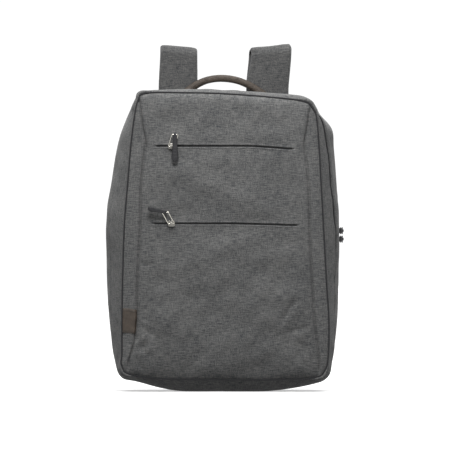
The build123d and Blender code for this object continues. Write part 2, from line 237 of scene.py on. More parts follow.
def surface(name, points, material, wrap=False, closed=False, flip=False, weld=False, uv=None):
    """A mesh through a grid of points in millimetres, or through several grids of one size. wrap
    joins the last column to the first and closed the last row to the first. Its UV map is the
    distance along each way in metres. weld joins points that fall together and turns every face
    of the shell outwards."""
    points = np.asarray(points, float)
    rows, columns = points.shape[-3:-1]
    points = points.reshape(-1, rows, columns, 3)
    if uv is None:
        across = np.linalg.norm(np.roll(points[0], -1, 1) - points[0], axis=2).max(0)
        upward = np.linalg.norm(np.roll(points[0], -1, 0) - points[0], axis=2).mean(1)
        uv = np.stack(np.meshgrid(np.concatenate([[0], np.cumsum(across)]),
                                  np.concatenate([[0], np.cumsum(upward)])), 2)
    row_count = rows if closed else rows - 1
    column_count = columns if wrap else columns - 1
    i, j = np.meshgrid(np.arange(row_count), np.arange(column_count), indexing="ij")
    corners = [(i, j), (i, j + 1), (i + 1, j + 1), (i + 1, j)]
    if flip:
        corners = corners[::-1]
    faces = np.stack([(a % rows) * columns + b % columns for a, b in corners], 2).reshape(-1, 4)
    picked = np.stack([uv[a, b] for a, b in corners], 2).reshape(-1, 2)
    faces = (faces[None] + (np.arange(len(points)) * rows * columns)[:, None, None]).reshape(-1, 4)
    mesh = bpy.data.meshes.new(name)
    mesh.vertices.add(points.size // 3)
    mesh.vertices.foreach_set("co", (points * MM).ravel())
    mesh.loops.add(faces.size)
    mesh.loops.foreach_set("vertex_index", faces.ravel())
    mesh.polygons.add(len(faces))
    mesh.polygons.foreach_set("loop_start", np.arange(len(faces)) * 4)
    mesh.polygons.foreach_set("use_smooth", np.full(len(faces), True))
    mesh.update(calc_edges=True)
    mesh.uv_layers.new(name="UVMap").data.foreach_set(
        "uv", np.tile(picked * MM, (len(points), 1)).ravel())
    if weld:
        join_points(mesh, face_out=True)
    mesh.validate()
    piece = bpy.data.objects.new(name, mesh)
    piece.data.materials.append(material)
    bpy.context.scene.collection.objects.link(piece)
    return piece


FLOOR_HALF = 16000
floor_x, floor_y = np.meshgrid(*[np.linspace(-FLOOR_HALF, FLOOR_HALF, 17)] * 2)
floor = surface("floor", np.stack([floor_x, floor_y, 0 * floor_x], 2),
                plain_sheet("pale_floor", (0.74, 0.74, 0.735), 0.8, 0.45))
floor.visible_diffuse = False

# ---- Front cover -------------------------------------------------------------------------------
# One face of heathered grey polyester canvas: a raised centre panel between two soft side folds,
# with narrow strips out to the seam. Two pocket mouths are cut across it and hemmed.
SEAM_Y = -62.0
ZIP_EDGE = 1.6
FRONT_SEAM = [(0, 17.6), (75, 17.8), (131, 20.5), (145, 31), (149.4, 51), (150.5, 100),
              (147, 158), (143.3, 225), (139.5, 295), (136.2, 352), (133.2, 388), (128.5, 401),
              (114.6, 412.8), (57, 419.5), (0, 423.5), (-57, 425), (-111, 424), (-121, 412),
              (-125.8, 390), (-130.6, 352), (-135, 300), (-140, 238), (-142.3, 168),
              (-143.4, 108), (-143.6, 55), (-144.2, 39), (-133.4, 25.2), (-84, 18.8)]
BASE_SIDE, RIGHT_SIDE, TOP_SIDE, LEFT_SIDE = (26, 30), (2, 12), (12, 16), (16, 26)
LEFT_FOLD = [(19, -136), (45, -133), (64, -127.5), (85, -123.5), (148, -122), (182, -120.5),
             (235, -117.6), (301, -116), (335, -112), (353, -110), (371, -113.4), (403, -117.5),
             (424, -119)]
RIGHT_FOLD = [(19, 137), (45, 136.3), (80, 132), (114, 129.2), (165, 126.4), (216, 123.7),
              (284, 122), (318, 119), (337, 116.4), (353, 116.4), (371, 119.3), (403, 123.5),
              (424, 125)]
PANEL_RISE = [(19, 4.5), (45, 6.6), (110, 8.6), (180, 8.2), (239, 7.0), (295, 7.8), (349, 6.8),
              (395, 5.6), (422, 4.5)]
POCKETS = {"upper": dict(z=349, left=-98, right=102, droop=4.6, bend=30),
           "lower": dict(z=239, left=-101, right=108, droop=2.4, bend=0)}
# Each crease: where it starts and ends, its width and its depth.
CREASES = [((104, 132), (82, 98), 4.5, 2.3), ((118, 92), (92, 84), 4, 1.5),
           ((-118, 182), (-98, 180), 3.5, 1.1), ((-60, 24), (-30, 60), 9, 1.1),
           ((-104, 118), (-92, 60), 6, 1.2), ((40, 26), (80, 58), 10, 1.2),
           ((-112, 352), (-100, 328), 5, 0.9), ((110, 350), (114, 318), 5, 0.9),
           ((-121, 66), (-104, 50), 3, 1.2), ((-116, 96), (-99, 78), 3.2, 0.9),
           ((-126, 52), (-112, 30), 3, 1.2), ((-20, 300), (40, 296), 12, 0.5)]
FOLD_LIFT, GROOVE_DEPTH, GROOVE_WIDTH = 3.4, 3.5, 1.6
MOUTH_RISE, SLOT_RISE = 6.85, 4.6
KNOT_STEPS = 30
RING_COUNT = KNOT_STEPS * len(FRONT_SEAM)
WAVES = 16


def ease(value, low, high):
    """0 below low and 1 above high, with a smooth step between them."""
    share = np.clip((value - low) / (high - low), 0, 1)
    return share * share * (3 - 2 * share)


def hump(value, centre, width):
    """A smooth bump, 1 at its centre."""
    return np.exp(-(((value - centre) / width) ** 2))


def through(knots, at):
    """A smooth curve through a few (place, value) knots: a cubic between each pair, whose slope
    at a knot is the slope between its neighbours."""
    place, value = np.array(knots, float).T
    slope = np.gradient(value, place)
    i = np.clip(np.searchsorted(place, at) - 1, 0, len(place) - 2)
    step = place[i + 1] - place[i]
    s = np.clip((at - place[i]) / step, 0, 1)
    start = value[i] * (1 + 2 * s) + step * slope[i] * s
    end = value[i + 1] * (3 - 2 * s) - step * slope[i + 1] * (1 - s)
    return start * (1 - s) ** 2 + end * s * s


def ring(knots):
    """A closed smooth loop through its knots: a cubic blend of the four nearest ones."""
    knots = np.array(knots, float)
    place = np.arange(RING_COUNT) / KNOT_STEPS
    i = place.astype(int)
    s = (place - i)[:, None]
    a, b, c, d = (knots[(i + k) % len(knots)] for k in (-1, 0, 1, 2))
    return 0.5 * (2 * b + (c - a) * s + (2 * a - 5 * b + 4 * c - d) * s**2
                  + (3 * b - a - 3 * c + d) * s**3)


def ripple(x, z, length, seed):
    """A gentle random unevenness of about +-1: sine waves of like length in random directions."""
    rng = np.random.default_rng(seed)
    total = 0
    for _ in range(WAVES):
        angle, phase = rng.uniform(0, 2 * np.pi, 2)
        size = length * rng.uniform(0.7, 1.5)
        total = total + np.sin((x * np.cos(angle) + z * np.sin(angle)) * 2 * np.pi / size + phase)
    return total / np.sqrt(WAVES)


def crease(x, z, start, end, width):
    """A soft line of fabric pulled between two points, 1 along it and fading at its ends."""
    (x0, z0), (x1, z1) = start, end
    length = np.hypot(x1 - x0, z1 - z0)
    along = ((x - x0) * (x1 - x0) + (z - z0) * (z1 - z0)) / length
    off = ((x - x0) * (z1 - z0) - (z - z0) * (x1 - x0)) / length
    return hump(off, 0, width) * ease(along, -0.2 * length, 0.25 * length) * \
        ease(length - along, -0.2 * length, 0.25 * length)


def canvas(name, dark, light, source="UV"):
    """Two-tone woven canvas: threads of uneven shade across and along, a fine plain weave in
    relief and a faint cloudiness. Its threads follow the piece's own map."""
    sheet = Sheet(name, Roughness=0.92, Sheen_Weight=0.1, Sheen_Roughness=0.5,
                  Specular_IOR_Level=0.2)
    place = sheet.place(source)
    weft = sheet.noise(place, (95, 800, 800), 3.0, 0.6)
    warp = sheet.noise(place, (800, 110, 110), 3.0, 0.6)
    fleck = sheet.noise(place, (700, 900, 900), 2.0, 0.6)
    cloud = sheet.noise(place, 22)
    thread = sheet.bands(place, 310, "X", 0.5) * sheet.bands(place, 310, "Y", 0.5)
    streak = (weft - 0.5) * 1.8 + (warp - 0.5) * 1.15 + (fleck - 0.5) * 1.5
    share = (streak + (cloud - 0.5) * 0.4 + 0.5).clip()
    relief = thread * 0.6 + weft * 0.6 + warp * 0.5
    return sheet.finish(sheet.mix(share, dark, light), relief, 0.0005, strength=0.45)


CANVAS_DARK, CANVAS_LIGHT = (0.028, 0.031, 0.035), (0.166, 0.164, 0.159)
grey_canvas = canvas("grey_canvas", CANVAS_DARK, CANVAS_LIGHT)
front_ring = ring(FRONT_SEAM)
base_run, right_run, top_run, left_run = (
    front_ring[np.arange(a * KNOT_STEPS, b * KNOT_STEPS + 1) % RING_COUNT]
    for a, b in (BASE_SIDE, RIGHT_SIDE, TOP_SIDE, LEFT_SIDE))

LOW_Z, HIGH_Z = 18.0, 425.0
z_lines = [np.linspace(LOW_Z, HIGH_Z, 200)]
for mouth in POCKETS.values():
    z_lines.append(mouth["z"] + np.linspace(-4.5, 4.5, 33))
z_lines = np.unique(np.round(np.concatenate(z_lines), 2))
share_up = (z_lines - LOW_Z) / (HIGH_Z - LOW_Z)
strip_lines = np.concatenate([np.linspace(0, 0.8, 13), [0.85, 0.89, 0.93, 0.965]])
near_fold = np.array([0, 0.0025, 0.005, 0.008, 0.012, 0.017, 0.024, 0.033, 0.045])
centre_lines = np.concatenate([near_fold, np.linspace(0.058, 0.942, 112), 1 - near_fold[:0:-1]])
column = np.concatenate([strip_lines, 1 + centre_lines, 3 - strip_lines[::-1]])

# Heights and widths depend on each other, so four rounds settle them.
up, col = np.meshgrid(share_up, column, indexing="ij")
z = LOW_Z + up * (HIGH_Z - LOW_Z)
for _ in range(4):
    left = np.interp(z, left_run[::-1, 1], left_run[::-1, 0])
    right = np.interp(z, right_run[:, 1], right_run[:, 0])
    fold_left = np.maximum(through(LEFT_FOLD, z), left + 2.0)
    fold_right = np.minimum(through(RIGHT_FOLD, z), right - 2.0)
    x = np.where(col < 1, left + col * (fold_left - left),
                 np.where(col < 2, fold_left + (col - 1) * (fold_right - fold_left),
                          fold_right + (col - 2) * (right - fold_right)))
    top = np.interp(x, top_run[::-1, 0], top_run[::-1, 1])
    base = np.interp(x, base_run[:, 0], base_run[:, 1])
    z = base + up * (top - base)


def mouth_line(mouth, x):
    """The height of a pocket mouth: straight from the left, sagging towards its right end."""
    return mouth["z"] - mouth["droop"] * ease(x, mouth["bend"], mouth["right"] + 15)


for mouth in POCKETS.values():
    level = base + (mouth["z"] - LOW_Z) / (HIGH_Z - LOW_Z) * (top - base)
    z = z + (mouth_line(mouth, x) - level) * hump(z, level, 26)

inside = np.clip(np.minimum(x - fold_left, fold_right - x), 0, None)
strip_share = np.clip(np.minimum(col, 3 - col), 0, 1)
rise = through(PANEL_RISE, z)
strip = 0.3 + (FOLD_LIFT - 0.3) * np.sin(np.pi / 2 * strip_share)
strip = strip + 0.7 * np.sin(np.pi * strip_share)
centre = FOLD_LIFT + (rise - FOLD_LIFT) * (1 - np.exp(-inside / 8)) + 1.1 * ease(inside, 10, 110)
bulge = np.where((col >= 1) & (col <= 2), centre, strip)
soft = ease(inside, 0, 30)
bulge = bulge + 1.25 * ripple(x, z, 95, 3) * soft + 0.5 * ripple(x, z, 38, 5) * soft
bulge = bulge + 0.10 * ripple(x, z, 15, 11) * ease(inside, 0, 12)
crinkle = hump(x, -112, 18) * hump(z, 74, 34) + 0.5 * hump(x, 112, 16) * hump(z, 62, 34)
bulge = bulge + crinkle * 0.8 * ripple(x, z, 17, 8)
for start, end, width, depth in CREASES:
    bulge = bulge - depth * crease(x, z, start, end, width)
fold_off = np.minimum(np.abs(x - fold_left), np.abs(x - fold_right))
bulge = bulge - GROOVE_DEPTH * hump(fold_off, 0, GROOVE_WIDTH) \
    * ease(np.minimum(top - z, z - base), 2, 14)
bulge = bulge * (1 - np.exp(-np.clip(top - z, 0, None) / 4))
bulge = bulge * (1 - np.exp(-np.clip(z - base, 0, None) / 7))
for mouth in POCKETS.values():
    away = np.abs(z - mouth_line(mouth, x))
    open_part = ease(x - mouth["left"], 0, 5) * ease(mouth["right"] - x, 0, 5)
    near_mouth = hump(away, 0, 15) * open_part
    bulge = bulge + (MOUTH_RISE - bulge) * near_mouth
    lip = 0.35 * hump(away, 2.5, 0.9) * open_part
    slot = (1 - ease(away, 0.8, 1.7)) * open_part
    bulge = (bulge + lip) * (1 - slot) + np.minimum(bulge, SLOT_RISE) * slot
bulge = np.maximum(bulge, 0)

cover_points = np.stack([x, SEAM_Y - bulge, z], 2)
front_cover = surface("front_cover", cover_points, grey_canvas, uv=np.stack([x, z], 2))


def woven_lining(name, dark, light, source="UV"):
    """Fine plain nylon lining with a dull sheen and small soft folds, whose colour is painted
    shade:
    darker in the hollows of the folds and paler on their crests.
    """
    sheet = Sheet(name, Roughness=0.6, Sheen_Weight=0.1, Specular_IOR_Level=0.35)
    place = sheet.place(source)
    fold = sheet.noise(place, (30, 22, 26), 3.0)
    thread = sheet.bands(place, 420, "DIAGONAL", 0.2)
    # Painted shade: the fold noise that raises the folds also darkens the colour in their hollows.
    return sheet.finish(sheet.mix(fold, dark, light), fold * 2.0 + thread * 0.15, 0.0012,
                        strength=0.6)


def thicken(piece, thickness, inner, offset=-1.0):
    """Gives a fabric wall its thickness inwards, its inner side in another material."""
    piece.data.materials.append(inner)
    solid = piece.modifiers.new("wall", "SOLIDIFY")
    solid.thickness, solid.offset = thickness * MM, offset
    solid.material_offset = 1
    solid.use_even_offset = False


LINING_DARK, LINING_LIGHT = (0.030, 0.031, 0.034), (0.055, 0.057, 0.062)
lining = woven_lining("lining_nylon", LINING_DARK, LINING_LIGHT)


def on_front(piece):
    """Front fabric: its transform is baked into its mesh."""
    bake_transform(piece)


def carried(piece, slot, carrier, *nodes):
    """Names the CAD nodes that a piece stands for, which it hides, its slot and what carries it:
    one body, or a function that is called on the piece. The slot is not used."""
    if nodes:
        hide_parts(*nodes)
    if isinstance(carrier, str):
        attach(piece, carrier)
    else:
        carrier(piece)


thicken(front_cover, 1.2, lining)
carried(front_cover, "grey_canvas", on_front, "front_panel_upper", "front_panel_middle",
        "front_panel_lower", "front_strip_left", "front_strip_right", "front_base")

# ---- Gussets -----------------------------------------------------------------------------------
# The same canvas carried round the bag in two bands, from the front seam out to the main zip
# and from the zip back to the rear piping. They bulge, and stand proud of the seam at the top.
MIDDLE_LINE = [(0, 0), (66, 0.6), (124, 9.4), (149.5, 20), (156.5, 45), (163.3, 100), (165, 160),
               (165.6, 232), (162.2, 300), (158.6, 347), (156, 371.5), (140, 392.5), (117, 419.5),
               (57, 426), (0, 429), (-57, 430), (-114, 428), (-124, 418.5), (-139.5, 385.5),
               (-150.5, 352), (-159, 301), (-166, 250), (-166.2, 170), (-163.3, 112),
               (-155.5, 48), (-146, 20.5), (-121, 13.2), (-66, 0.8)]
REAR_SEAM = [(0, 8.5), (66, 9.5), (117, 17.5), (139, 28), (147, 46), (150.5, 110), (151.5, 180),
             (150, 240), (146.5, 302), (141.5, 350), (134, 385), (125.5, 405), (112, 416.5),
             (57, 422), (0, 424), (-57, 423.5), (-112, 418.5), (-125.5, 406), (-134, 385),
             (-141.5, 350), (-146.5, 302), (-150, 240), (-151.5, 180), (-150.5, 110),
             (-147, 46), (-138, 28), (-115, 18.5), (-66, 9.5)]
REAR_Y = 62.0
FOLD_HEIGHT = 62.0
BAG_CENTRE = np.array([0.0, 215.0])
FRONT_ROWS, REAR_ROWS, FRONT_CROWDING = 54, 26, 1.35
# The pleat on the right: heights, and there its share across the band and its depth.
PLEAT = np.array([(60, 0.42, 0.5), (165, 0.40, 1.0), (233, 0.41, 1.3), (284, 0.37, 1.8),
                  (335, 0.34, 2.1), (352, 0.30, 2.1), (369, 0.205, 2.0), (386, 0.12, 1.0)]).T
middle_ring, rear_ring = ring(MIDDLE_LINE), ring(REAR_SEAM)


def fullness(middle, front):
    """How square the band is: fuller under the base and over the top than at the sides."""
    low = 1 - ease(middle[:, 1], 0, 40)
    high = ease(middle[:, 1], 396, 424)
    return 2.3 + 3.4 * low + (11.0 if front else 1.2) * high


def pleat_at(height):
    """The share across the band and the depth of the pleat at some heights."""
    return [np.interp(height, PLEAT[0], values) for values in PLEAT[1:]]


def unit(vectors):
    """The same directions, each of length 1."""
    vectors = np.asarray(vectors, float)
    return vectors / np.linalg.norm(vectors, axis=-1, keepdims=True)


def from_centre(points):
    """Unit directions from the middle of the bag to some (x, z) points."""
    return unit(points - BAG_CENTRE)


def band(seam, seam_y, rows, seed):
    """A band from a seam to the middle line: across it, the outline goes from one to the other
    as 1 - (1 - share) ** fullness, so it leaves the seam steeply and meets the zip square."""
    front = seam_y < 0
    height = middle_ring[:, 1]
    share = np.linspace(0, 1, rows)[:, None] ** (FRONT_CROWDING if front else 1.0)
    shape = 1 - (1 - share) ** fullness(middle_ring, front)[None, :]
    outline = seam[None] + (middle_ring - seam)[None] * shape[..., None]
    edge = ZIP_EDGE * ease(height, FOLD_HEIGHT - 6, FOLD_HEIGHT + 4) * np.sign(seam_y)
    y = seam_y + (edge[None, :] - seam_y) * share
    along = np.cumsum(np.linalg.norm(np.roll(middle_ring, -1, 0) - middle_ring, axis=1))
    free = np.sin(np.pi * share) * ease(height, 12, 60)[None, :]
    swell = free * (1.3 * ripple(along[None, :], y, 120, seed)
                    + 0.6 * ripple(along[None, :], y, 45, seed + 1))
    if front:
        line, depth = pleat_at(height)
        on_right = ((middle_ring[:, 0] > 0) * depth * ease(-height, -396, -378))[None, :]
        swell = swell - 1.3 * on_right * hump(share, line[None, :], 0.026)
        swell = swell + 0.5 * on_right * hump(share, line[None, :] + 0.10, 0.06)
        on_left = (middle_ring[:, 0] < 0) * ease(height, 60, 120) * ease(-height, -330, -230)
        swell = swell - 1.2 * hump(share, 0.46, 0.04) * on_left[None, :]
    outline = outline + from_centre(middle_ring)[None] * swell[..., None]
    points = np.stack([outline[..., 0], np.broadcast_to(y, swell.shape), outline[..., 1]], 2)
    points[..., 2] = np.maximum(points[..., 2], 0.0)
    return points


front_points = band(front_ring, SEAM_Y, FRONT_ROWS, 21)
front_band = surface("gusset_front", front_points, grey_canvas, wrap=True, flip=True)
rear_points = band(rear_ring, REAR_Y, REAR_ROWS, 33)
rear_band = surface("gusset_rear", rear_points, grey_canvas, wrap=True)
for piece in (front_band, rear_band):
    thicken(piece, 2.0, lining)
carried(front_band, "grey_canvas", on_front,
        "front_gusset_left", "front_gusset_right", "front_gusset_top")
carried(rear_band, "grey_canvas", "pack_body",
        "side_gusset_left", "side_gusset_right", "top_gusset", "bottom_gusset")

# ---- Seam bindings -----------------------------------------------------------------------------
# Charcoal grosgrain binding, folded over the raw edges and stitched down: a rear cord. A thin
# near-black tube in the front seam, with the canvas rolled beside it, and a line in the right pleat
# are painted
# shade: they stand for the dark shade in the seam groove and along the pleat's fold.
TO_FRONT, TO_BACK, UPWARD = (0, -1, 0), (0, 1, 0), (0, 0, 1)
SEAM_POINTS, REAR_POINTS, PLEAT_POINTS = 700, 600, 200
# Corners of the front seam, where the seam tube swells, partly for the bunched piping and partly as
# painted shade: x, z, reach and size.
BUNCHED_SHADE_CORNERS = [(124, 404, 10, 1.7), (-118, 417, 9, 1.2), (139, 31, 9, 0.45),
                   (-139, 31, 9, 0.45)]
ROLLED_CORNERS = [(-117, 419, 15, 1), (122, 408, 18, 1), (-139.5, 31, 12, 1), (139, 26, 13, 1)]


def sweep(path, profile, up, closed=False):
    """A profile carried along a path: a profile point (a, b) sits a to the side, which is the
    path's direction crossed with up, and b along the normal to both."""
    path = np.asarray(path, float)
    ahead = np.roll(path, -1, 0) - np.roll(path, 1, 0) if closed else np.gradient(path, axis=0)
    ahead = unit(ahead)
    side = unit(np.cross(ahead, up))
    normal = np.cross(side, ahead)
    profile = np.broadcast_to(profile, (len(path), *np.shape(profile)[-2:]))
    return path[:, None] + profile[..., :1] * side[:, None] + profile[..., 1:] * normal[:, None]


def oval(half_width, half_height, count=12, power=1.0):
    """A closed outline (a cos, b sin), squarer as the power falls below 1."""
    turn = np.arange(count) / count * 2 * np.pi
    def squared(value):
        return np.sign(value) * np.abs(value) ** power
    width, height = np.asarray(half_width, float), np.asarray(half_height, float)
    return np.stack([width[..., None] * squared(np.cos(turn)),
                     height[..., None] * squared(np.sin(turn))], -1)


def capped(points):
    """The grid with one more row at each end, drawn in to the middle of the row it closes."""
    first = points[:1].mean(1, keepdims=True) + 0 * points[:1]
    last = points[-1:].mean(1, keepdims=True) + 0 * points[:1]
    return np.concatenate([first, points, last])


def shell(name, points, material, closed=False):
    """A solid shape whose rows are loops: the last row meets the first or both ends are points."""
    return surface(name, points, material, wrap=True, closed=closed, weld=True)


def tube(name, path, profile, up, material, closed=False):
    """A profile swept along a path, either a closed loop or capped at both ends."""
    points = sweep(path, profile, up, closed)
    return shell(name, points if closed else capped(points), material, closed)


def run_along(path):
    """The distance along a line, at each of its points."""
    return np.concatenate([[0], np.cumsum(np.linalg.norm(np.diff(path, axis=0), axis=1))])


def resampled(path, count):
    """The same line through evenly spaced points."""
    path = np.asarray(path, float)
    along = run_along(path)
    at = np.linspace(0, along[-1], count)
    return np.stack([np.interp(at, along, path[:, k]) for k in range(path.shape[1])], 1)


def grosgrain(name, dark, light, ribs=560):
    """Ribbed binding tape: fine close ribs across its length with a little slubbing."""
    sheet = Sheet(name, Roughness=0.75, Specular_IOR_Level=0.3)
    place = sheet.place()
    rib = sheet.bands(place, ribs, "Y", 0.3)
    slub = sheet.noise(place, 500, 3.0)
    return sheet.finish(sheet.mix((rib * 0.5 + slub * 0.6).clip(), dark, light), rib + slub * 0.5,
                        0.0003, strength=0.6)


def loop_at(y, points, count):
    """Evenly spaced points round a closed (x, z) line that stands at one depth."""
    x, z = resampled(np.concatenate([points, points[:1]]), count + 1)[:-1].T
    return np.stack([x, np.full(count, y), z], 1)


def at_corners(path, corners):
    """Smooth bumps where a path passes some corners."""
    return sum(size * hump(np.hypot(path[:, 0] - x, path[:, 2] - z), 0, reach)
               for x, z, reach, size in corners)


binding = grosgrain("binding_grosgrain", (0.006, 0.006, 0.007), (0.022, 0.022, 0.024))
# Painted shade: the near-black seam tube stands for the shade in the groove between the cover and
# the rolled canvas.
seam_path = loop_at(SEAM_Y - 0.75, front_ring, SEAM_POINTS)
seam_radius = 1.15 + 0.75 * at_corners(seam_path, BUNCHED_SHADE_CORNERS)
front_seam_shade_line = tube("front_seam_shade_line", seam_path, oval(seam_radius, seam_radius, 8), TO_FRONT,
                     binding, closed=True)
carried(front_seam_shade_line, "piping", on_front, "front_piping", "front_piping_lower")

full = at_corners(seam_path, ROLLED_CORNERS)
outward = np.insert(from_centre(seam_path[:, ::2]), 1, 0, axis=1)
roll_path = seam_path + outward * (0.9 + 2.0 * full)[:, None] + (0, 0.7, 0)
roll_radius = 0.8 + 1.9 * full
front_roll = tube("front_roll", roll_path, oval(roll_radius, roll_radius, 12), TO_FRONT,
                  grey_canvas, closed=True)
carried(front_roll, "grey_canvas", on_front)

# Painted shade: a thin near-black tube laid in the right pleat stands for the shade along the
# pleat's fold.
middle_x, middle_z = middle_ring.T
rising = np.where((middle_x > 100) & (middle_z > 205) & (middle_z < 390))[0]
row_share = np.linspace(0, 1, FRONT_ROWS) ** FRONT_CROWDING
pleat = np.array([[np.interp(at, row_share, front_points[:, j, k]) for k in range(3)]
                  for at, j in zip(pleat_at(middle_z[rising])[0], rising)])
pleat[:, 0] += 1.6
step = np.arange(PLEAT_POINTS)
fade = 0.15 + 0.8 * ease(step, 0, 60) * ease(step[::-1], 0, 12)
pleat_shade_line = tube("gusset_pleat_shade_line", resampled(pleat, PLEAT_POINTS), oval(fade, fade, 8),
                     TO_FRONT, binding)
carried(pleat_shade_line, "piping", on_front)

rear_binding = tube("rear_binding", loop_at(REAR_Y + 1.0, rear_ring, REAR_POINTS),
                    oval(2.1, 2.1, 10), TO_BACK, binding, closed=True)
carried(rear_binding, "piping", "pack_body", "rear_piping")

# ---- Pocket zips -------------------------------------------------------------------------------
# Black nylon coil zips set behind the two mouths: a woven tape, and on it a close ribbed coil
# that shows as a dark line between the hemmed lips.
TAPE_HALF_WIDTH, COIL_RADIUS, COIL_PITCH = 8.5, 1.05, 1.4
COIL_Y, TAPE_BEHIND = SEAM_Y - 4.3, 1.7
tape_cloth = grosgrain("zip_tape", (0.010, 0.010, 0.011), (0.030, 0.030, 0.032), ribs=900)


def solid(name, dark, light, grain, depth, strength, patch=None, breakup=0.5, dulling=None,
          **fixed):
    """A cast, moulded or twisted material: two shades under a fine relief. They follow the grain
    or larger patches, both given as units to the metre along X, Y and Z. Dulling is the
    roughness of the dark shade and how much more the light one has."""
    sheet = Sheet(name, **fixed)
    place = sheet.place("Object")
    relief = sheet.noise(place, grain)
    shade = sheet.noise(place, patch, 3.0, breakup) if patch else relief
    dull = shade * dulling[1] + dulling[0] if dulling else None
    return sheet.finish(sheet.mix(shade, dark, light), relief, depth, dull, strength)


coil_nylon = solid("zip_coil", (0.008, 0.008, 0.009), (0.0144, 0.0144, 0.0162),
                   grain=800, depth=0.0001, strength=0.3, Roughness=0.42,
                   Specular_IOR_Level=0.4)
for name, mouth in POCKETS.items():
    run = np.linspace(mouth["left"] + 1, mouth["right"] - 1, 260)
    line = np.stack([run, np.full(260, COIL_Y), mouth_line(mouth, run)], 1)
    flat = oval(TAPE_HALF_WIDTH, 0.3, 8, 0.5)
    zip_tape = tube(f"{name}_zip_cloth", line + (0, TAPE_BEHIND, 0), flat, TO_FRONT, tape_cloth)
    carried(zip_tape, "zip_tape", "front_shell", f"{name}_zip_tape")
    fine = resampled(line, int((mouth["right"] - mouth["left"]) / COIL_PITCH) * 6)
    swell = COIL_RADIUS * (0.82 + 0.18 * np.abs(np.sin(np.pi * np.arange(len(fine)) / 6)))
    coil = tube(f"{name}_zip_coil", fine, oval(1.25 * swell, swell, 8), TO_FRONT, coil_nylon)
    carried(coil, "zip_tape", "front_shell")

# ---- Main zip ----------------------------------------------------------------------------------
# A long coil zip round the sides and the top between the two gussets. Each half has its own
# tape and row of teeth, the rear one carried with the back and the front one with the front pieces.
TOOTH_PITCH, TOOTH_LENGTH, TOOTH_RADIUS = 2.6, 1.7, 0.75


def beads(centres, along, normal, length, radius):
    """Small closed capsules, one to a centre: rings of radius sqrt(1 - s * s) at s from end to
    end along the given direction, drawn in to a point at both ends."""
    s = np.array([-1, -0.75, 0, 0.75, 1.0])
    along = unit(along)
    side = unit(np.cross(along, normal))
    top = np.cross(side, along)
    turn = np.arange(6) / 6 * 2 * np.pi
    wide = np.sqrt(1 - s * s)[None, :, None, None] * radius
    round_part = (side[:, None, None] * np.cos(turn)[None, None, :, None]
                  + top[:, None, None] * np.sin(turn)[None, None, :, None]) * wide
    straight = along[:, None, None] * (s * length / 2)[None, :, None, None]
    return centres[:, None, None] + straight + round_part


zip_run = resampled(middle_ring[middle_ring[:, 1] > FOLD_HEIGHT + 1], 620)
inward = np.gradient(zip_run, axis=0)
inward = unit(np.stack([-inward[:, 1], inward[:, 0]], 1))
tooth_at = resampled(zip_run, int(run_along(zip_run)[-1] / TOOTH_PITCH))
tooth_in = resampled(inward, len(tooth_at))
tooth_ahead = np.gradient(tooth_at, axis=0)
for name, sign in (("rear", 1), ("front", -1)):
    across = np.array([0.3, 0.7, 1.2, 2.2, 4.0])
    depth = np.array([1.5, 1.25, 1.2, 1.3, 2.6])
    at = zip_run[:, None] + inward[:, None] * depth[None, :, None]
    ribbon = np.stack([at[..., 0], sign * np.broadcast_to(across, at.shape[:2]), at[..., 1]], 2)
    main_tape = surface(f"main_zip_cloth_{name}", ribbon, tape_cloth, flip=sign < 0)
    thicken(main_tape, 0.4, tape_cloth)
    half_step = 0.5 if sign > 0 else 0.0
    teeth_xz = tooth_at + tooth_in * 0.85 + tooth_ahead * half_step
    teeth = beads(np.insert(teeth_xz, 1, sign * 0.62, axis=1),
                  np.tile((0.0, 1.0, 0.0), (len(teeth_xz), 1)),
                  np.insert(-tooth_in, 1, 0, axis=1), TOOTH_LENGTH, TOOTH_RADIUS)
    carrier = "pack_body" if sign > 0 else on_front
    carried(main_tape, "zip_tape", carrier, f"main_zip_{name}")
    carried(shell(f"main_zip_teeth_{name}", teeth, coil_nylon), "zip_tape", carrier)

# ---- Sliders and bails -------------------------------------------------------------------------
# Die-cast zinc sliders with bent wire bails. The pockets have dark nickel sliders with bright
# bails, the main zip has a gunmetal pair. Corners are tumbled round before plating.


def plated(name, dark, light, roughness):
    """Plated metal with fine tumbling marks and slightly duller patches."""
    return solid(name, dark, light, (2600, 900, 1600), 0.00005, 0.4, patch=260,
                 breakup=0.6, dulling=(roughness, 0.18), Metallic=1.0)


def rounded_node(name, material, radius, segments=2):
    """A CAD node with its triangles joined and its sharp edges rounded."""
    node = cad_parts[name]
    node.data.materials.clear()
    node.data.materials.append(material)
    join = node.modifiers.new("join", "WELD")
    join.merge_threshold = 0.01 * MM
    edge = node.modifiers.new("edge", "BEVEL")
    edge.width, edge.segments = radius * MM, segments
    edge.limit_method, edge.angle_limit = "ANGLE", np.radians(35)
    return node


nickel = plated("bright_nickel", (0.34, 0.32, 0.28), (0.72, 0.70, 0.64), 0.16)
dark_nickel = plated("dark_nickel", (0.09, 0.088, 0.082), (0.30, 0.29, 0.265), 0.22)
gunmetal = plated("gunmetal", (0.030, 0.030, 0.032), (0.085, 0.085, 0.09), 0.3)
for name in ("upper", "lower"):
    rounded_node(f"{name}_zip_slider", dark_nickel, 0.35)
    rounded_node(f"{name}_bail", nickel, 0.05, 1)
    rounded_node(f"main_{name}_slider", gunmetal, 0.35)
    rounded_node(f"main_{name}_bail", gunmetal, 0.05, 1)

# ---- Rubber pulls ------------------------------------------------------------------------------
# Soft black moulded pulls: an eye round the bail's bar, a flat neck and a drop-shaped grip with
# three shallow finger ribs. The two pocket pulls are the ones seen from the front.
EYE_RADIUS, EYE_WIRE = 1.75, 0.62


